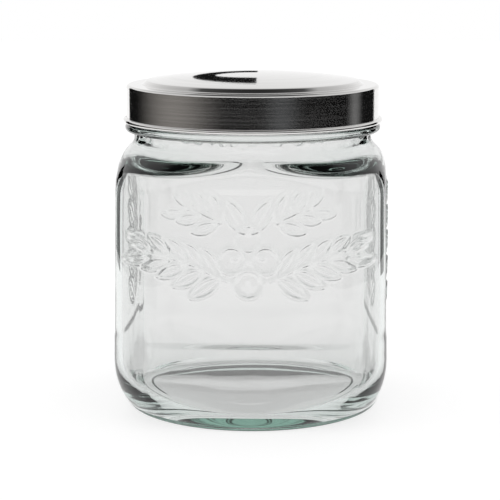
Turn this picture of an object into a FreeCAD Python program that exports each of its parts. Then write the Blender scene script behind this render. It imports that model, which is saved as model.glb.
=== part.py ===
import FreeCAD, Part
import math
import os

# Food storage canister: a clear glass jar of rounded-square plan with a one-piece steel lid.
# Millimetres.  Origin at the centre of the base ring, on the surface the jar stands on.
# +Z is up, the front panel faces -Y and the side panels face +X and -X.

# ---- glass body ----
body_half_width = 67.4       # half the width across two flat panels, at the shoulder
body_taper = 1.6             # how much wider the half width is at the base
corner_radius = 30.5         # plan radius of the four upright corners
panel_bow_radius = 1100.0    # plan radius of the slightly bowed panels
shoulder_z = 122.0           # height at which the middle of a panel starts to close in
shoulder_height = 13.5       # height in which the closing curve there would reach the neck
shoulder_drop = 0.9          # how far the start falls towards a corner, per mm of reach
shoulder_power = 2.7         # fullness of the shoulder curve
shoulder_blend = 0.40        # share of the curve that the concave sweep into the neck takes over
wall = 4.0                   # glass thickness of panels, shoulder and neck

# ---- base ----
foot_inset = 4.0             # how far the round base stands inside the middle of a panel
foot_round = 2.5             # radius of the rounding at the foot
heel_height = 31.5           # height in which the round base becomes the rounded square
heel_power = 1.45            # fullness of that change
bearing_width = 7.5          # width of the flat ring that the jar stands on
push_up_step = 1.2           # height of the short slope at the edge of the recess in the base
push_up_depth = 3.0          # rise of that recess at the middle
base_glass = 3.5             # glass thickness over the middle of the recess
inside_round = 2.0           # rounding between the inside floor and the heel

# ---- neck ----
neck_radius = 60.0           # waist of the neck, below the glass ring
neck_length = 7.4            # from the end of the shoulder curve to the middle of the ring
ring_reach = 4.8             # how far the glass ring stands out from the waist
ring_section = 1.9           # section radius of the rim of that ring
collar_reach = 2.4           # how far the plain collar inside the lid stands out from the waist
collar_height = 20.7         # from the middle of the ring to the top of the mouth rim
rim_round = 1.6              # rounding of the rim's two edges

# ---- lid ----
lid_sheet = 0.7              # thickness of the steel
lid_side_clearance = 0.9     # gap all round between the collar and the inside of the skirt
lid_corner = 1.5             # outside rounding between the skirt and the flat rim
bead_section = 1.2           # section radius of the rolled bead at the lower edge
bead_lap = 0.1               # how far the bead is set out from the inside of the skirt
bead_gap = 0.5               # air between the bead and the glass ring below it
flat_rim_width = 8.0         # from the skirt to the foot of the raised centre
dome_step = 2.0              # height of the steep step round the raised centre
dome_step_run = 2.2          # run of that step towards the centre
dome_crown = 3.9             # further rise of the dome from the step to the middle
dome_edge_round = 2.0        # rounding at the top of the step
dome_foot_round = 1.4        # rounding at the foot of the step

# ---- sizes that follow from those above ----
foot_radius = body_half_width + body_taper - foot_inset
push_up_radius = foot_radius - foot_round - bearing_width
floor_z = push_up_depth + base_glass
neck_bore = neck_radius - wall
neck_z = shoulder_z + shoulder_height
ring_z = neck_z + neck_length
ring_radius = neck_radius + ring_reach
collar_radius = neck_radius + collar_reach
rim_z = ring_z + collar_height
skirt_radius = collar_radius + lid_side_clearance + lid_sheet

SECTION_POINTS = 48          # points that each plan section passes through


def plan_radius(angle, half_width, corner, bow):
    """Distance from the axis to the rounded square in the direction of an angle."""
    off = bow - half_width
    c = (math.sqrt(2 * (bow - corner) ** 2 - off ** 2) - off) / 2
    a = abs((angle + math.pi / 4) % (math.pi / 2) - math.pi / 4)
    k = bow / (bow - corner)
    tangent = math.atan2(c * k, (c + off) * k - off)
    if a <= tangent:
        return math.sqrt(bow ** 2 - (off * math.sin(a)) ** 2) - off * math.cos(a)
    b = c * (math.cos(a) + math.sin(a))
    return b + math.sqrt(b * b - 2 * c * c + corner * corner)


def half_width_at(z):
    """Half width across the panels at a height, wider towards the base."""
    return body_half_width + body_taper * max(0.0, 1 - z / shoulder_z)


def body_radius(angle, z, inset):
    """Distance from the axis to the panels and corners, at a height."""
    return plan_radius(angle, half_width_at(z) - inset, corner_radius - inset,
                       panel_bow_radius - inset)


def shoulder_curve(angle):
    """Heights where the shoulder starts, turns into its concave sweep, and ends."""
    reach = plan_radius(angle, body_half_width, corner_radius, panel_bow_radius)
    start = shoulder_z - shoulder_drop * (reach - body_half_width)
    turn = (1 - shoulder_blend) ** (1 / shoulder_power)
    slope = shoulder_power * turn ** (shoulder_power - 1) / (neck_z - start)
    turn_z = start + (neck_z - start) * turn
    return start, turn_z, turn_z + 2 * shoulder_blend / slope


def square_share(angle, z):
    """How much of the rounded square is left in the shoulder, from 1 down to 0 at the neck."""
    start, turn_z, end = shoulder_curve(angle)
    if z <= turn_z:
        return 1 - max(0.0, (z - start) / (neck_z - start)) ** shoulder_power
    return shoulder_blend * max(0.0, (end - z) / (end - turn_z)) ** 2


def section(z, radius):
    """Closed smooth wire at height z; radius gives the distance from the axis at an angle."""
    pts = []
    for i in range(SECTION_POINTS):
        a = 2 * math.pi * i / SECTION_POINTS
        pts.append(FreeCAD.Vector(radius(a) * math.cos(a), radius(a) * math.sin(a), z))
    curve = Part.BSplineCurve()
    curve.interpolate(Points=pts, PeriodicFlag=True)
    return Part.Wire([curve.toShape()])


def round_section(z, r):
    return section(z, lambda a: r)


def blend_section(z, share, r, inset):
    """Section between a circle of radius r (share 0) and the body's rounded square (share 1)."""
    return section(z, lambda a: (1 - share(a)) * r + share(a) * body_radius(a, z, inset))


def skin(bottom_z, bottom_radius, rounding, neck, top_z, inset):
    """Solid bounded by a rounded foot, heel, panels, shoulder and round neck up to top_z."""
    start = bottom_z + rounding
    low, _, end = shoulder_curve(math.pi / 4)
    foot, heel, shoulder = [], [], []
    for k in range(5):
        t = math.pi / 2 * k / 4
        foot.append(round_section(bottom_z + rounding * (1 - math.cos(t)),
                                  bottom_radius - rounding * (1 - math.sin(t))))
    for k in range(9):
        t = math.pi / 2 * k / 8
        heel.append(blend_section(start + (heel_height - start) * (1 - math.cos(t)),
                                  lambda a: math.sin(t) ** heel_power, bottom_radius, inset))
    panels = [blend_section(z, lambda a: 1.0, neck, inset) for z in (heel_height, low)]
    for k in range(15):
        z = low + (end - low) * k / 14
        shoulder.append(blend_section(z, lambda a: square_share(a, z), neck, inset))
    collar = [round_section(z, neck) for z in (end, top_z)]
    faces = [Part.Face(foot[0]), Part.Face(collar[-1])]
    for stage in (foot, heel, panels, shoulder, collar):
        faces += Part.makeLoft(stage, False, len(stage) == 2).Faces
    return Part.Solid(Part.Shell(faces))


def arc(p, q, r):
    """Circular edge through three (radius, height) points."""
    return Part.Arc(*[FreeCAD.Vector(x, 0, z) for x, z in (p, q, r)]).toShape()


def line(p, q):
    return Part.LineSegment(FreeCAD.Vector(p[0], 0, p[1]), FreeCAD.Vector(q[0], 0, q[1])).toShape()


def turned(edges):
    """Solid of revolution about the Z axis of a closed outline."""
    face = Part.Face(Part.Wire(edges))
    return face.revolve(FreeCAD.Vector(0, 0, 0), FreeCAD.Vector(0, 0, 1), 360)


def corner(cx, cz, r, start, end):
    """Arc of a rounded edge about (cx, cz), from one angle to another in degrees."""
    pts = []
    for deg in (start, (start + end) / 2, end):
        a = math.radians(deg)
        pts.append((cx + r * math.cos(a), cz + r * math.sin(a)))
    return arc(*pts), pts[0], pts[2]


def make_finish():
    """Glass ring and plain collar with a rounded outer rim, filled to the axis."""
    ring, ring_in, ring_out = corner(ring_radius - ring_section, ring_z, ring_section, -90, 90)
    rim, rim_in, rim_out = corner(collar_radius - rim_round, rim_z - rim_round, rim_round, 0, 90)
    collar_foot = (collar_radius, ring_out[1])
    return turned([
        line((0.0, ring_in[1]), ring_in), ring, line(ring_out, collar_foot),
        line(collar_foot, rim_in), rim, line(rim_out, (0.0, rim_z)),
        line((0.0, rim_z), (0.0, ring_in[1]))])


def make_mouth():
    """What is cut away to round the inner edge of the mouth rim."""
    centre = neck_bore + rim_round * math.cos(math.radians(30))
    edge, top, low = corner(centre, rim_z - rim_round, rim_round, 90, 170)
    clear = rim_z + rim_round
    return turned([edge, line(low, (0.0, low[1])), line((0.0, low[1]), (0.0, clear)),
                   line((0.0, clear), (top[0], clear)), line((top[0], clear), top)])


def make_push_up():
    """The shallow recess inside the ring that the jar stands on."""
    edge = push_up_radius - push_up_step
    rise = push_up_depth - push_up_step
    sphere = (edge ** 2 + rise ** 2) / (2 * rise)
    mid = edge / 2
    mid_z = push_up_depth - sphere + math.sqrt(sphere ** 2 - mid ** 2)
    top = (0.0, push_up_depth)
    return turned([
        line((0.0, 0.0), (push_up_radius, 0.0)),
        line((push_up_radius, 0.0), (edge, push_up_step)),
        arc((edge, push_up_step), (mid, mid_z), top), line(top, (0.0, 0.0))])


def make_jar():
    """The glass, one piece from the base ring to the mouth rim."""
    outside = skin(0.0, foot_radius, foot_round, neck_radius, (ring_z + rim_z) / 2, 0.0)
    inside = skin(floor_z, foot_radius - wall, inside_round, neck_bore, rim_z + rim_round, wall)
    glass = outside.fuse(make_finish()).cut(inside)
    return glass.cut(make_mouth()).cut(make_push_up()).Solids[0]


def circle_edge(shape, radius, z):
    """The circular edge of a turned shape that has the given radius and height."""
    for e in shape.Edges:
        c = e.Curve
        if isinstance(c, Part.Circle) and abs(c.Radius - radius) < 0.01:
            if abs(c.Center.z - z) < 0.01:
                return e
    raise ValueError("no circular edge of radius %.2f at height %.2f" % (radius, z))


def make_lid():
    """Sheet steel lid: stepped dome, flat rim, upright skirt and a bead rolled outwards."""
    flat = rim_z + lid_sheet
    bead_z = ring_z + ring_section + bead_gap + bead_section
    step_out = skirt_radius - flat_rim_width
    step_in = step_out - dome_step_run
    step_z = flat + dome_step
    peak = step_z + dome_crown
    sphere = (step_in ** 2 + dome_crown ** 2) / (2 * dome_crown)
    mid = step_in / 2
    mid_z = peak - sphere + math.sqrt(sphere ** 2 - mid ** 2)
    corners = [(0.0, bead_z), (skirt_radius, bead_z), (skirt_radius, flat), (step_out, flat),
               (step_in, step_z)]
    form = turned([line(p, q) for p, q in zip(corners, corners[1:])]
                  + [arc((step_in, step_z), (mid, mid_z), (0.0, peak)),
                     line((0.0, peak), (0.0, bead_z))])
    form = form.makeFillet(lid_corner, [circle_edge(form, skirt_radius, flat)])
    form = form.makeFillet(dome_edge_round, [circle_edge(form, step_in, step_z)])
    form = form.makeFillet(dome_foot_round, [circle_edge(form, step_out, flat)])
    open_face = [f for f in form.Faces if abs(f.CenterOfMass.z - bead_z) < 0.01]
    shell = form.makeThickness(open_face, -lid_sheet, 0.001)
    bead_line = skirt_radius - lid_sheet + bead_lap + bead_section
    bead = Part.makeTorus(bead_line, bead_section, FreeCAD.Vector(0, 0, bead_z))
    return shell.fuse(bead).Solids[0]


os.makedirs("parts", exist_ok=True)
for name, shape in (("jar", make_jar()), ("lid", make_lid())):
    if not shape.isValid():
        raise ValueError(name + " is not a valid solid")
    shape.exportStep("parts/" + name + ".step")
    print(name, "volume", round(shape.Volume))
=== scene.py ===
import bpy
import math
import numpy as np
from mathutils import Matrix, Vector


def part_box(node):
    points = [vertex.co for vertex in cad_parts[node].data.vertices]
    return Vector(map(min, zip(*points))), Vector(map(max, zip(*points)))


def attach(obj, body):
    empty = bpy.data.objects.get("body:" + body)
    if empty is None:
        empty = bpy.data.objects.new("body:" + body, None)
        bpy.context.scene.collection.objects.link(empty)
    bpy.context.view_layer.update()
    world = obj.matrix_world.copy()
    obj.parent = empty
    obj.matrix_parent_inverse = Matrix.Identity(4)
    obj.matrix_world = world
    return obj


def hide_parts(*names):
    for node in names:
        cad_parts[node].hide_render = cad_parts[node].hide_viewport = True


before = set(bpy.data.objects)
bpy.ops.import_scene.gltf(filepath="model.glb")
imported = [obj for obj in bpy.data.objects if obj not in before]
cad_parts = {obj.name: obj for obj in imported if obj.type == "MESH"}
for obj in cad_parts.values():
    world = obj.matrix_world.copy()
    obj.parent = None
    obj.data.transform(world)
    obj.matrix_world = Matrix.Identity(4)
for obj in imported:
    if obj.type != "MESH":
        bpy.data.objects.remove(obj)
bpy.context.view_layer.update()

jar_lo, jar_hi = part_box("jar")
lid_lo, lid_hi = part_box("lid")
MM = 0.001


# ------------------------------------------------------------------ helpers

def arc(cx, cz, r, a0, a1, n):
    """(radius, height) points on an arc, angles in degrees."""
    return [(cx + r * math.cos(math.radians(a0 + (a1 - a0) * k / n)),
             cz + r * math.sin(math.radians(a0 + (a1 - a0) * k / n))) for k in range(n + 1)]


def rounded(points, n=6):
    """Polyline of (radius, height, rounding) with each corner rounded."""
    out = []
    for i, (x, z, r) in enumerate(points):
        if r <= 0 or i in (0, len(points) - 1):
            out.append((x, z))
            continue
        p = Vector((x, z))
        a = (Vector(points[i - 1][:2]) - p)
        b = (Vector(points[i + 1][:2]) - p)
        half = a.angle(b) / 2
        room = 0.49 * min(a.length, b.length)
        t = min(r / math.tan(half), room)
        a.normalize()
        b.normalize()
        rr = t * math.tan(half)
        c = p + (a + b).normalized() * (rr / math.sin(half))
        s, e = p + a * t - c, p + b * t - c
        spare = min(0.15, 0.8 * (room - t))          # a near ring keeps the flat beside it flat
        if spare > 0.02:
            out.append(tuple(p + a * (t + spare)))
        sweep = s.angle_signed(e)
        for k in range(n + 1):
            q = s.copy()
            ang = -sweep * k / n
            out.append((c.x + q.x * math.cos(ang) - q.y * math.sin(ang),
                        c.y + q.x * math.sin(ang) + q.y * math.cos(ang)))
        if spare > 0.02:
            out.append(tuple(p + b * (t + spare)))
    return out


def grid_mesh(name, rings, angles, start=None, end=None):
    """Mesh from rings of (radii, heights) at common angles; start and end are pole heights."""
    n = len(angles)
    ca, sa = np.cos(angles), np.sin(angles)
    verts = []
    for r, z in rings:
        r, z = np.broadcast_to(r, (n,)), np.broadcast_to(z, (n,))
        verts.append(np.stack([r * ca, r * sa, z], 1))
    verts = list(np.concatenate(verts))
    faces = []
    nxt = [(j + 1) % n for j in range(n)]
    for i in range(len(rings) - 1):
        a, b = i * n, (i + 1) * n
        faces += [(a + j, a + nxt[j], b + nxt[j], b + j) for j in range(n)]
    if start is not None:
        verts.append(np.array([0, 0, start]))
        k = len(verts) - 1
        faces += [(nxt[j], j, k) for j in range(n)]
    if end is not None:
        verts.append(np.array([0, 0, end]))
        k = len(verts) - 1
        b = (len(rings) - 1) * n
        faces += [(b + j, b + nxt[j], k) for j in range(n)]
    me = bpy.data.meshes.new(name)
    me.from_pydata([tuple(v * MM) for v in verts], [], faces)
    me.polygons.foreach_set("use_smooth", [True] * len(me.polygons))
    me.update()
    ob = bpy.data.objects.new(name, me)
    bpy.context.scene.collection.objects.link(ob)
    return ob


# ------------------------------------------------------------------ glass jar
# the same sizes as the source, in millimetres
HALF, TAPER, CORNER, BOW, WALL = 67.4, 1.6, 30.5, 1100.0, 4.0            # plan of the body
SH_Z, SH_H, SH_DROP, SH_POW, SH_BLEND = 122.0, 13.5, 0.9, 2.7, 0.40      # shoulder
FOOT_R, FOOT_ROUND, HEEL_H, HEEL_POW = 65.0, 2.5, 31.5, 1.45             # foot and heel
PUSH_R, PUSH_STEP, PUSH_D, FLOOR_Z, IN_ROUND = 55.0, 1.2, 3.0, 6.5, 2.0  # recess and floor
NECK_R, RING_R, RING_S, COLLAR_R, RIM_ROUND = 60.0, 64.8, 1.9, 62.4, 1.6  # neck and rim
RIM_Z = jar_hi.z / MM
RING_Z = RIM_Z - 20.7
# only here: thicker glass inside the shoulder, and the relief
DROP_FROM, DROP_MIN, DROP_MORE = 121.5, 2.2, 4.6   # height it starts at, least and added depth
RELIEF, GROUND = 1.35, 0.42    # height of the relief, depth of the ground round it
RELIEF_MID = 85.0              # height of the middle of the relief
RELIEF_LOW = 42.0              # below this there is no relief
WAVES = 0.20                   # height of the waves round the neck
WAVES_BELOW, WAVES_WIDE = 4.0, 1.3    # how far below the ring they lie, and how tall the band is
BOX_SPARE = 0.03               # how far the relief stays inside the CAD's box


def plan_radius(angle, half, corner, bow):
    """Distance from the axis to the rounded square in the direction of an angle."""
    off = bow - half
    c = (math.sqrt(2 * (bow - corner) ** 2 - off ** 2) - off) / 2
    a = np.abs((angle + math.pi / 4) % (math.pi / 2) - math.pi / 4)
    k = bow / (bow - corner)
    tangent = math.atan2(c * k, (c + off) * k - off)
    side = np.sqrt(bow ** 2 - (off * np.sin(a)) ** 2) - off * np.cos(a)
    b = c * (np.cos(a) + np.sin(a))
    return np.where(a <= tangent, side, b + np.sqrt(np.maximum(b * b - 2 * c * c + corner ** 2, 0)))


def body_radius(angle, z, inset):
    """Radius of the body at a height, set in by the wall for the inside."""
    half = HALF + TAPER * max(0.0, 1 - z / SH_Z)
    return plan_radius(angle, half - inset, CORNER - inset, BOW - inset)


def square_share(angle, z):
    """How much of the shoulder's radius is still the body's, from 1 down to 0 at the neck."""
    reach = plan_radius(angle, HALF, CORNER, BOW)
    start = SH_Z - SH_DROP * (reach - HALF)
    height = SH_Z + SH_H - start
    turn = (1 - SH_BLEND) ** (1 / SH_POW)
    slope = SH_POW * turn ** (SH_POW - 1) / height
    turn_z = start + height * turn
    end = turn_z + 2 * SH_BLEND / slope
    low = 1 - np.clip((z - start) / height, 0, None) ** SH_POW
    high = SH_BLEND * np.clip((end - z) / (end - turn_z), 0, None) ** 2
    return np.where(z <= turn_z, low, high)


def panel_angles():
    """Plan angles whose points are close together on the three panels that carry relief."""
    panels = ((0.9, 27.0), (4.0, 36.0), (0.9, 27.0), (0.6, 57.0))   # right, back, left, front
    corner_step = math.radians(2.2)
    out = []
    for k, (step, limit) in enumerate(panels):
        mid = k * math.pi / 2
        inner = [math.atan2(y, HALF) for y in np.arange(-limit, limit + 1e-6, step)]
        out += [mid + a for a in inner]
        rest = math.pi / 4 - inner[-1]
        n = max(2, int(rest / corner_step))
        out += [mid + inner[-1] + rest * (j + 1) / n for j in range(n - 1)]
        out += [mid - inner[-1] - rest * (j + 1) / n for j in range(n - 1)]
        out.append(mid + math.pi / 4)
    return np.array(sorted(a % (2 * math.pi) for a in out))


def lens(x, y, half_len, half_wid):
    """Signed distance to a leaf-shaped outline lying along x."""
    r = (half_len ** 2 / half_wid + half_wid) / 2
    d = r - half_wid
    px, py = np.abs(y), np.abs(x)
    tip = np.hypot(px, py - half_len)
    flank = np.hypot(px + d, py) - r
    return np.where((py - half_len) * d > px * half_len, tip, flank)


def ridge(dist, width):
    """Rounded ridge, 1 at no distance from its line."""
    return np.exp(-(dist / width) ** 2)


def leaf(h, x, y, cx, cy, deg, half_len, half_wid):
    """Adds one raised leaf outline with its mid vein to the height h."""
    a = math.radians(deg)
    p = (x - cx) * math.cos(a) + (y - cy) * math.sin(a)
    q = -(x - cx) * math.sin(a) + (y - cy) * math.cos(a)
    d = lens(p, q, half_len, half_wid)
    vein = ridge(q, 0.5) * (np.abs(p) < half_len * 0.8) * (d < 0) * 0.75
    return np.maximum(h, np.maximum(ridge(d, 0.7), vein))


def spray(x, y):
    """Generic spray of leaves round a bunch of round fruit; x across, y up, mm; height 0 to 1."""
    m = np.abs(x)                                    # the two halves mirror each other
    h = np.zeros_like(x)

    def low(t):
        return -15.0 + 19.0 * np.sin(np.clip(t / 54.0, 0, 1) * math.pi / 2)

    def high(t):
        return 9.0 + 17.0 * np.sin(np.clip(t / 34.0, 0, 1) * math.pi / 2)

    for curve, a, b in ((low, 9.0, 52.0), (high, 12.0, 32.0)):
        on = np.clip((m - a) / 2, 0, 1) * np.clip((b - m) / 3, 0, 1)
        h = np.maximum(h, ridge(y - curve(m), 0.7) * on)
    for k in range(5):
        t = 13.0 + 8.6 * k
        n = 9.0 - 0.7 * k
        h = leaf(h, m, y, t + 0.62 * n, low(t) + 0.85 * n, 56 - 5 * k, n, 0.42 * n)
        h = leaf(h, m, y, t + 0.85 * n, low(t) - 0.55 * n, -34 + 6 * k, n, 0.40 * n)
    for k in range(3):
        t = 13.5 + 8.0 * k
        n = 7.6 - 0.6 * k
        h = leaf(h, m, y, t + 0.35 * n, high(t) + 0.95 * n, 72 - 9 * k, n, 0.40 * n)
        h = leaf(h, m, y, t + 1.0 * n, high(t) - 0.35 * n, -18 + 8 * k, 0.8 * n, 0.34 * n)
    h = leaf(h, m, y, 6.2, 22.0, 62, 9.0, 3.8)
    for cx, cy, r in ((0.0, -11.0, 7.0), (8.2, 0.5, 6.4), (0.0, 11.5, 6.0)):
        h = np.maximum(h, ridge(np.hypot(m - cx, y - cy) - r, 0.75))
        h = np.maximum(h, 0.7 * ridge(np.hypot(m - cx + 1.6, y - cy - 1.8) - 0.9, 0.7))
    return h


def sprig(x, y):
    """Generic upright sprig for the side panels; x across, y up, mm; height 0 to 1."""
    m = np.abs(x)
    h = ridge(x, 0.8) * np.clip((36 - np.abs(y)) / 3, 0, 1)
    for k in range(5):
        t = -33.0 + 13.0 * k
        h = leaf(h, m, y, 10.0, t + 7.5, 36, 11.5, 4.4)
    h = leaf(h, x, y, 0.0, 34.0, 90, 8.0, 3.4)
    for k in range(4):
        h = np.maximum(h, ridge(np.hypot(m - 13.5, y + 26.0 - 13.0 * k) - 2.6, 0.75))
    return h


def build_jar():
    """The jar as one closed skin: recess, foot, outside, mouth rim, inside and floor."""
    ang = panel_angles()
    n = len(ang)

    def flat(pts):
        return [(np.full(n, r), z) for r, z in pts]

    edge, rise = PUSH_R - PUSH_STEP, PUSH_D - PUSH_STEP
    sph = (edge ** 2 + rise ** 2) / (2 * rise)
    dome = [(r, PUSH_D - sph + math.sqrt(sph ** 2 - r ** 2))
            for r in np.linspace(4, edge - 0.5, 10)]
    base = rounded([(dome[-1][0], dome[-1][1], 0), (edge, PUSH_STEP, 0.6), (PUSH_R, 0.0, 0.7),
                    (PUSH_R + 4, 0.0, 0)], 4)
    rings = flat(dome[:-1] + base)
    rings += flat(arc(FOOT_R - FOOT_ROUND, FOOT_ROUND, FOOT_ROUND, -90, 0, 7))

    def heel(bottom, radius, inset, count):
        out = []
        for k in range(1, count + 1):
            t = math.pi / 2 * k / count
            s = math.sin(t) ** HEEL_POW
            z = bottom + (HEEL_H - bottom) * (1 - math.cos(t))
            out.append(((1 - s) * radius + s * body_radius(ang, z, inset), z))
        return out

    def shoulder(neck, inset, count, top, drop=0.0):
        """Rings of the shoulder; drop lowers them towards the neck, for thicker glass there."""
        low = SH_Z - SH_DROP * (plan_radius(np.array([math.pi / 4]), HALF, CORNER, BOW)[0] - HALF)
        out = []
        for z in np.linspace(low, top, count + 1)[1:]:
            s = square_share(ang, z)
            g = min(max((z - DROP_FROM) / (SH_Z + SH_H + 0.5 - DROP_FROM), 0.0), 1.0)
            g = g * g * (3 - 2 * g)
            out.append(((1 - s) * neck + s * body_radius(ang, z, inset), z - drop * g))
        return low, out

    rings += heel(FOOT_ROUND, FOOT_R, 0.0, 22)
    low, sh = shoulder(NECK_R, 0.0, 44, RING_Z - RING_S - 0.8)
    zs = np.concatenate([np.arange(HEEL_H, 41, 2.0), np.arange(41, low, 0.62), [low]])
    rings += [(body_radius(ang, z, 0.0), z) for z in zs[1:]]
    rings += sh
    under = RING_Z - RING_S
    rings += flat(rounded([(NECK_R, under - 0.7, 0), (NECK_R, under, 0.6),
                           (RING_R - RING_S, under, 0)], 4)[1:])
    rings += flat(arc(RING_R - RING_S, RING_Z, RING_S, -90, 90, 14)[1:])
    rings += flat([(COLLAR_R + 0.15, RING_Z + RING_S + 0.02), (COLLAR_R, RING_Z + RING_S + 0.2)])
    rings += flat([(COLLAR_R, z) for z in np.linspace(RING_Z + RING_S + 2, RIM_Z - RIM_ROUND, 5)])
    rings += flat(arc(COLLAR_R - RIM_ROUND, RIM_Z - RIM_ROUND, RIM_ROUND, 0, 90, 6)[1:])
    bore = NECK_R - WALL
    rings += flat(arc(bore + RIM_ROUND, RIM_Z - RIM_ROUND, RIM_ROUND, 90, 180, 6))
    outer = len(rings)
    reach = plan_radius(ang, HALF, CORNER, BOW) - HALF
    thicker = DROP_MIN + DROP_MORE * (reach / reach.max()) ** 0.6
    _, ish = shoulder(bore, WALL, 40, RING_Z - RING_S - 0.8, thicker)
    rings += [(np.full(n, bore), z) for z in np.linspace(RIM_Z - 4, RING_Z, 4)]
    rings += ish[::-1]
    rings += [(body_radius(ang, z, WALL), z) for z in np.linspace(low, HEEL_H, 12)]
    rings += heel(FLOOR_Z + IN_ROUND, FOOT_R - WALL, WALL, 18)[::-1][1:]
    rings += flat(arc(FOOT_R - WALL - IN_ROUND, FLOOR_Z + IN_ROUND, IN_ROUND, 0, -90, 10))
    rings += flat([(r, FLOOR_Z) for r in (48, 40, 30, 20, 10, 4)])

    # a raised garland on the front panel and an upright sprig on each side panel
    done = []
    for i, (r, z) in enumerate(rings):
        r = np.array(np.broadcast_to(r, (n,)), float)
        if i < outer and RELIEF_LOW - 2 < z < SH_Z:
            x, y = r * np.cos(ang), r * np.sin(ang)
            v = np.full(n, z - RELIEF_MID)
            fade = np.clip((SH_Z - 2 - z) / 3, 0, 1) * np.clip((z - RELIEF_LOW) / 3, 0, 1)
            front = np.where(y < -HALF * 0.8, spray(x, v), 0)
            sides = np.where(np.abs(x) > HALF * 0.8, sprig(y, v), 0)
            inset = np.exp(-(np.minimum(np.abs(x), np.abs(y)) / 50.0) ** 6)
            r = r + fade * (RELIEF * (front + sides) - GROUND * inset)
            reach = np.maximum(np.abs(np.cos(ang)), np.abs(np.sin(ang)))
            r = np.minimum(r, (jar_hi.x / MM - BOX_SPARE) / reach)
        if i < outer and np.min(z) > SH_Z + 8 and np.max(z) < RING_Z - RING_S:
            # faint uneven waves where the neck was shaped, below the ring
            wave = np.sin(29 * ang + 2 * np.sin(5 * ang)) + np.sin(47 * ang + 3 * np.sin(7 * ang))
            r = r + WAVES * wave * ridge(z - (RING_Z - WAVES_BELOW), WAVES_WIDE)
        done.append((r, z))
    return grid_mesh("glass_jar", done, ang, start=PUSH_D, end=FLOOR_Z)


jar = build_jar()


# ------------------------------------------------------------------ steel lid
# the same sizes as the source, in millimetres
SKIRT, SHEET, BEAD = 64.0, 0.7, 1.2                # radius, thickness, section of the bead
RIM_WIDE, STEP_RUN, STEP, CROWN = 8.0, 2.2, 2.0, 3.9
LID_PEAK = lid_hi.z / MM
FLAT_Z = LID_PEAK - STEP - CROWN
LID_SIDES = 320


def build_lid():
    """The lid turned from one closed outline: crown, step, rim, skirt, bead and inside."""
    ang = np.linspace(0, 2 * math.pi, LID_SIDES, endpoint=False)
    step_out, step_in = SKIRT - RIM_WIDE, SKIRT - RIM_WIDE - STEP_RUN
    step_z = FLAT_Z + STEP
    crown = LID_PEAK - step_z
    sph = (step_in ** 2 + crown ** 2) / (2 * crown)
    bead_z = lid_lo.z / MM + BEAD

    def dome(drop, r_end):
        rr = np.linspace(3.0, r_end, 40)
        return [(r, LID_PEAK - drop - sph + math.sqrt(sph ** 2 - r ** 2), 0) for r in rr]

    out = dome(0.0, step_in - 1.2)
    out += [(step_in, step_z, 2.0), (step_out, FLAT_Z, 1.4), (SKIRT, FLAT_Z, 1.5),
            (SKIRT, bead_z + 1.35, 0), (SKIRT, bead_z + BEAD, 0)]
    bead = arc(SKIRT - SHEET + 0.1 + BEAD, bead_z, BEAD, 118, -150, 22)
    inner = [(SKIRT - SHEET, bead_z + 0.4, 0), (SKIRT - SHEET, FLAT_Z - SHEET, 0.8),
             (step_out - 0.3, FLAT_Z - SHEET, 1.6), (step_in - 0.3, step_z - SHEET, 1.2)]
    inner += dome(SHEET, step_in - 1.6)[::-1]
    outline = rounded(out, 8) + bead + rounded(inner, 5)
    rings = [(np.full(LID_SIDES, r), z) for r, z in outline]
    # reversed, the first ring is at the crown inside and the last at the crown outside
    return grid_mesh("steel_lid", rings[::-1], ang, start=LID_PEAK - SHEET, end=LID_PEAK)


lid = build_lid()


# ------------------------------------------------------------------ materials
def new_mat(name):
    """A new material, its node tree and its Principled shader."""
    m = bpy.data.materials.new(name)
    m.use_nodes = True
    nt = m.node_tree
    bsdf = nt.nodes["Principled BSDF"]
    return m, nt, bsdf


def glass_material():
    """Clear glass with a faint green in its depth and a slightly uneven surface."""
    m, nt, b = new_mat("clear_glass")
    b.inputs["Base Color"].default_value = (0.905, 0.890, 0.893, 1)
    b.inputs["Roughness"].default_value = 0.0
    b.inputs["IOR"].default_value = 1.5
    b.inputs["Transmission Weight"].default_value = 1.0
    coords = nt.nodes.new("ShaderNodeTexCoord")
    noise = nt.nodes.new("ShaderNodeTexNoise")
    noise.inputs["Scale"].default_value = 28
    noise.inputs["Detail"].default_value = 1.5
    bump = nt.nodes.new("ShaderNodeBump")
    bump.inputs["Strength"].default_value = 0.05
    bump.inputs["Distance"].default_value = 0.004
    nt.links.new(coords.outputs["Object"], noise.inputs["Vector"])
    nt.links.new(noise.outputs["Fac"], bump.inputs["Height"])
    nt.links.new(bump.outputs["Normal"], b.inputs["Normal"])
    depth = nt.nodes.new("ShaderNodeVolumeAbsorption")
    depth.inputs["Color"].default_value = (0.40, 0.64, 0.56, 1)
    depth.inputs["Density"].default_value = 19.0
    nt.links.new(depth.outputs["Volume"], nt.nodes["Material Output"].inputs["Volume"])
    return m


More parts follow.
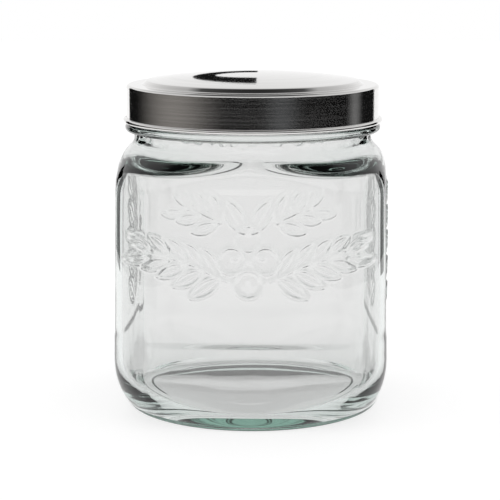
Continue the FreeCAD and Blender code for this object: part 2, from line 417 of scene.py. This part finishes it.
def steel_material(name, aniso, rough):
    """Steel brushed round the axis; aniso 0 gives a satin finish."""
    m, nt, b = new_mat(name)
    b.inputs["Metallic"].default_value = 1.0
    b.inputs["Anisotropic"].default_value = aniso
    b.inputs["Anisotropic Rotation"].default_value = 0.25 if aniso else 0.0
    coords = nt.nodes.new("ShaderNodeTexCoord")
    stretch = nt.nodes.new("ShaderNodeMapping")
    stretch.inputs["Scale"].default_value = (10, 10, 2300)
    lines = nt.nodes.new("ShaderNodeTexNoise")
    lines.inputs["Scale"].default_value = 1.0
    lines.inputs["Detail"].default_value = 5
    nt.links.new(coords.outputs["Object"], stretch.inputs["Vector"])
    nt.links.new(stretch.outputs["Vector"], lines.inputs["Vector"])
    gloss = nt.nodes.new("ShaderNodeMapRange")
    gloss.inputs["From Min"].default_value = 0.3
    gloss.inputs["From Max"].default_value = 0.7
    gloss.inputs["To Min"].default_value = rough * 0.8
    gloss.inputs["To Max"].default_value = rough * 1.25
    nt.links.new(lines.outputs["Fac"], gloss.inputs["Value"])
    nt.links.new(gloss.outputs["Result"], b.inputs["Roughness"])
    shade = nt.nodes.new("ShaderNodeMix")
    shade.data_type = "RGBA"
    shade.inputs["A"].default_value = (0.66, 0.65, 0.64, 1)
    shade.inputs["B"].default_value = (0.92, 0.91, 0.90, 1)
    nt.links.new(lines.outputs["Fac"], shade.inputs["Factor"])
    nt.links.new(shade.outputs["Result"], b.inputs["Base Color"])
    if aniso:
        tangent = nt.nodes.new("ShaderNodeTangent")
        tangent.direction_type, tangent.axis = "RADIAL", "Z"
        nt.links.new(tangent.outputs["Tangent"], b.inputs["Tangent"])
    bump = nt.nodes.new("ShaderNodeBump")
    bump.inputs["Strength"].default_value = 0.06
    bump.inputs["Distance"].default_value = 0.0005
    nt.links.new(lines.outputs["Fac"], bump.inputs["Height"])
    nt.links.new(bump.outputs["Normal"], b.inputs["Normal"])
    return m


jar.data.materials.append(glass_material())
lid.data.materials.append(steel_material("satin_steel_top", 0.0, 0.05))
lid.data.materials.append(steel_material("brushed_steel_skirt", 0.95, 0.11))
SKIRT_DEEP, CORNER_TALL = 0.9, 1.2       # how far in, and how far below the top, the skirt begins
for p in lid.data.polygons:
    c = p.center / MM
    outside = math.hypot(c.x, c.y) > SKIRT - SKIRT_DEEP
    p.material_index = 1 if outside and c.z < FLAT_Z - CORNER_TALL else 0

for ob, node, slot in ((jar, "jar", "glass"), (lid, "lid", "lid_steel")):
    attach(ob, "root")
    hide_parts(node)


# ------------------------------------------------------------------ floor
FLOOR_COLOUR, FLOOR_GLOW = 0.30, 0.76    # together a little over 1, so that it shows white
FLOOR_RADIUS, FLOOR_GAP = 3.0, 0.0002    # metres; the floor lies just below the jar
bpy.ops.mesh.primitive_circle_add(vertices=96, radius=FLOOR_RADIUS, fill_type="NGON",
                                  location=(0, 0, jar_lo.z - FLOOR_GAP))
floor = bpy.context.object
floor.name = "floor"
floor_mat, nt, b = new_mat("pale_floor")
b.inputs["Base Color"].default_value = (FLOOR_COLOUR, FLOOR_COLOUR, FLOOR_COLOUR, 1)
b.inputs["Roughness"].default_value = 0.9
b.inputs["Specular IOR Level"].default_value = 0.0
# the camera, the metal and the glass all see the same white floor with its shadow
path = nt.nodes.new("ShaderNodeLightPath")
glow = path.outputs["Is Camera Ray"]
for ray in ("Is Glossy Ray", "Is Transmission Ray"):
    either = nt.nodes.new("ShaderNodeMath")
    either.operation = "MAXIMUM"
    nt.links.new(glow, either.inputs[0])
    nt.links.new(path.outputs[ray], either.inputs[1])
    glow = either.outputs[0]
strength = nt.nodes.new("ShaderNodeMath")
strength.operation = "MULTIPLY"
strength.inputs[1].default_value = FLOOR_GLOW
emission = nt.nodes.new("ShaderNodeEmission")
both = nt.nodes.new("ShaderNodeAddShader")
nt.links.new(glow, strength.inputs[0])
nt.links.new(strength.outputs[0], emission.inputs["Strength"])
nt.links.new(b.outputs[0], both.inputs[0])
nt.links.new(emission.outputs[0], both.inputs[1])
nt.links.new(both.outputs[0], nt.nodes["Material Output"].inputs["Surface"])
floor.data.materials.append(floor_mat)


# ------------------------------------------------------------------ studio cards
# stage cards that the camera doesn't see; sizes in metres, bearings in degrees from the front
# (-Y), positive to the right
DARK, HOOP_GREY, VALANCE_GREY, CORNER_GREY = 0.005, 0.008, 0.12, 0.18
CARD_STEP = 1.5                          # bearing between two edges of a bent card
# soft lights on the dark surround: bearing, half width, brightness, warmth
SOFT_LIGHTS = [(-70, 54, 0.20, 0.06), (26, 22, 0.055, -0.04), (101, 13, 0.15, 0.0)]

card_mat, nt, b = new_mat("card_tone")
tone = nt.nodes.new("ShaderNodeVertexColor")
tone.layer_name = "tone"
emission = nt.nodes.new("ShaderNodeEmission")
nt.links.new(tone.outputs["Color"], emission.inputs["Color"])
nt.links.new(emission.outputs[0], nt.nodes["Material Output"].inputs["Surface"])


def put_card(name, verts, tones, metal=False, glass=False):
    """Stage a strip of quads, seen by metal or glass; verts come in pairs, one tone a pair."""
    me = bpy.data.meshes.new(name)
    me.from_pydata(verts, [], [(2 * k, 2 * k + 2, 2 * k + 3, 2 * k + 1)
                               for k in range(len(tones) - 1)])
    layer = me.color_attributes.new("tone", "FLOAT_COLOR", "POINT")
    for k, t in enumerate(tones):
        for j in (2 * k, 2 * k + 1):
            layer.data[j].color = (*t, 1)
    me.materials.append(card_mat)
    ob = bpy.data.objects.new(name, me)
    bpy.context.scene.collection.objects.link(ob)
    ob.visible_camera = ob.visible_diffuse = ob.visible_shadow = False
    ob.visible_volume_scatter = False
    ob.visible_glossy, ob.visible_transmission = metal, glass


def bent_card(name, radius, start, stop, low, high, colour, metal=False, glass=False):
    """An upright card bent round the jar between two bearings; colour gives r, g, b at one."""
    n = max(2, int((stop - start) / CARD_STEP) + 1)
    bearings = [start + (stop - start) * k / (n - 1) for k in range(n)]
    verts = [(radius * math.sin(math.radians(t)), -radius * math.cos(math.radians(t)), z)
             for t in bearings for z in (low, high)]
    put_card(name, verts, [colour(t) for t in bearings], metal, glass)


def even(grey):
    """The same grey at every bearing."""
    return lambda t: (grey,) * 3


def surround(t):
    """Tone of the dark surround that the lid's skirt mirrors."""
    rgb = [DARK] * 3
    for mid, half, light, warm in SOFT_LIGHTS:
        if abs(t - mid) < half:
            k = light * math.cos(math.pi / 2 * (t - mid) / half) ** 2
            rgb = [v + k * w for v, w in zip(rgb, (1 + warm, 1, 1 - warm))]
    return rgb


bent_card("surround", 0.5, -142, 138, jar_lo.z, 0.27, surround, metal=True)
for k in range(4):                       # dark lines down the rounded corners
    t = -135 + 90 * k
    bent_card("card_%d" % k, 0.42, t - 9.5, t + 9.5, jar_lo.z, 0.7, even(CORNER_GREY), glass=True)
bent_card("valance", 0.9, -180, 180, 0.27, 0.42, even(VALANCE_GREY), glass=True)   # dark shoulder
# a dark half hoop that stands far behind, to the left, and shows in the crown of the lid
HOOP_X, HOOP_Y = -0.05, 2.0
HOOP_EDGES = ((0.095, 0.49, 0.13), (0.15, 0.53, 0.29))   # inner, outer: half width, middle, height
limb = [math.radians(90 + 5 * k) for k in range(37)]
put_card("half_hoop", [(HOOP_X + wide * math.cos(a), HOOP_Y, mid + tall * math.sin(a))
                       for a in limb for wide, mid, tall in HOOP_EDGES],
         [(HOOP_GREY,) * 3] * len(limb), metal=True)


# ------------------------------------------------------------------ studio light (world)
# white all round; metal sees the soft light fade towards a dark ceiling: how high, how bright
CEILING = [(0.0, 1.0), (0.31, 0.88), (0.65, 0.62), (0.80, 0.52), (0.88, 0.08), (1.0, 0.03)]
world = bpy.data.worlds.new("studio")
bpy.context.scene.world = world
world.use_nodes = True
nt = world.node_tree
nt.nodes.clear()
coords = nt.nodes.new("ShaderNodeTexCoord")
split = nt.nodes.new("ShaderNodeSeparateXYZ")
fade = nt.nodes.new("ShaderNodeValToRGB")
stops = fade.color_ramp.elements
for stop, (high, light) in zip((stops[0], stops[1]), (CEILING[0], CEILING[-1])):
    stop.position, stop.color = high, (light, light, light, 1)
for high, light in CEILING[1:-1]:
    stops.new(high).color = (light, light, light, 1)
path = nt.nodes.new("ShaderNodeLightPath")
sky = nt.nodes.new("ShaderNodeMix")
sky.data_type = "RGBA"
sky.inputs["A"].default_value = (1, 1, 1, 1)
background = nt.nodes.new("ShaderNodeBackground")
out = nt.nodes.new("ShaderNodeOutputWorld")
nt.links.new(coords.outputs["Generated"], split.inputs[0])
nt.links.new(split.outputs["Z"], fade.inputs[0])
nt.links.new(path.outputs["Is Glossy Ray"], sky.inputs["Factor"])
nt.links.new(fade.outputs["Color"], sky.inputs["B"])
nt.links.new(sky.outputs["Result"], background.inputs["Color"])
nt.links.new(background.outputs[0], out.inputs["Surface"])


# ------------------------------------------------------------------ camera
AZ, TILT = math.radians(1.8), math.radians(10.32)    # bearing from the front, look down
DIST, HEIGHT, SIDE = 0.895, 0.2415, -0.0014          # metres
LENS, SENSOR = 127.07568, 36.0                       # millimetres
cam = bpy.data.cameras.new("camera")
cam.sensor_width = SENSOR
cam.lens = LENS
camera = bpy.data.objects.new("camera", cam)
bpy.context.scene.collection.objects.link(camera)
right = Vector((math.cos(AZ), math.sin(AZ), 0))
place = Vector((DIST * math.sin(AZ), -DIST * math.cos(AZ), HEIGHT))
camera.location = place + right * SIDE
camera.rotation_euler = (math.pi / 2 - TILT, 0, AZ)
bpy.context.scene.camera = camera
bpy.context.scene.view_settings.view_transform = "Standard"

bpy.context.view_layer.update()
